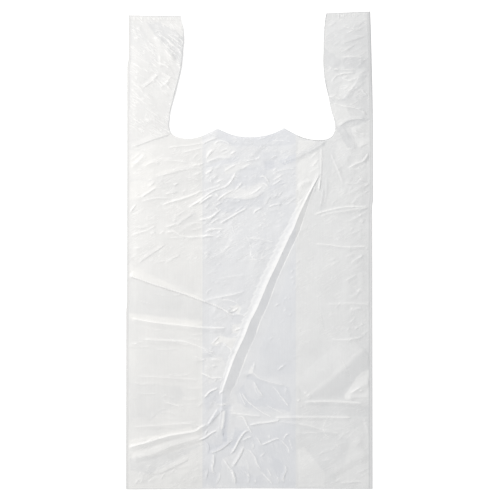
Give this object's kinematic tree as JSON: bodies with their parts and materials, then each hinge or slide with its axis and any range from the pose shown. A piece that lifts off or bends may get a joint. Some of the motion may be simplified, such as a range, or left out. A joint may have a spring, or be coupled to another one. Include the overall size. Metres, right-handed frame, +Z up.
{
  "type": "plastic carrier bag",
  "caption": "Empty gusseted film carrier bag lying flat, with two punched handles, a scalloped mouth and a welded bottom.",
  "frame": {"origin": "middle of the underside of the bag as it lies flat on its back", "axes": "+X across the bag, +Y from the bottom weld to the handles, +Z up out of the front panel"},
  "size_m": [0.2994, 0.58, 0.0046],
  "materials": {
    "film": "thin milky polythene film, half see-through, with a soft gloss"
  },
  "bodies": {
    "root": {"bag_film": "film"}
  },
  "joints": []
}
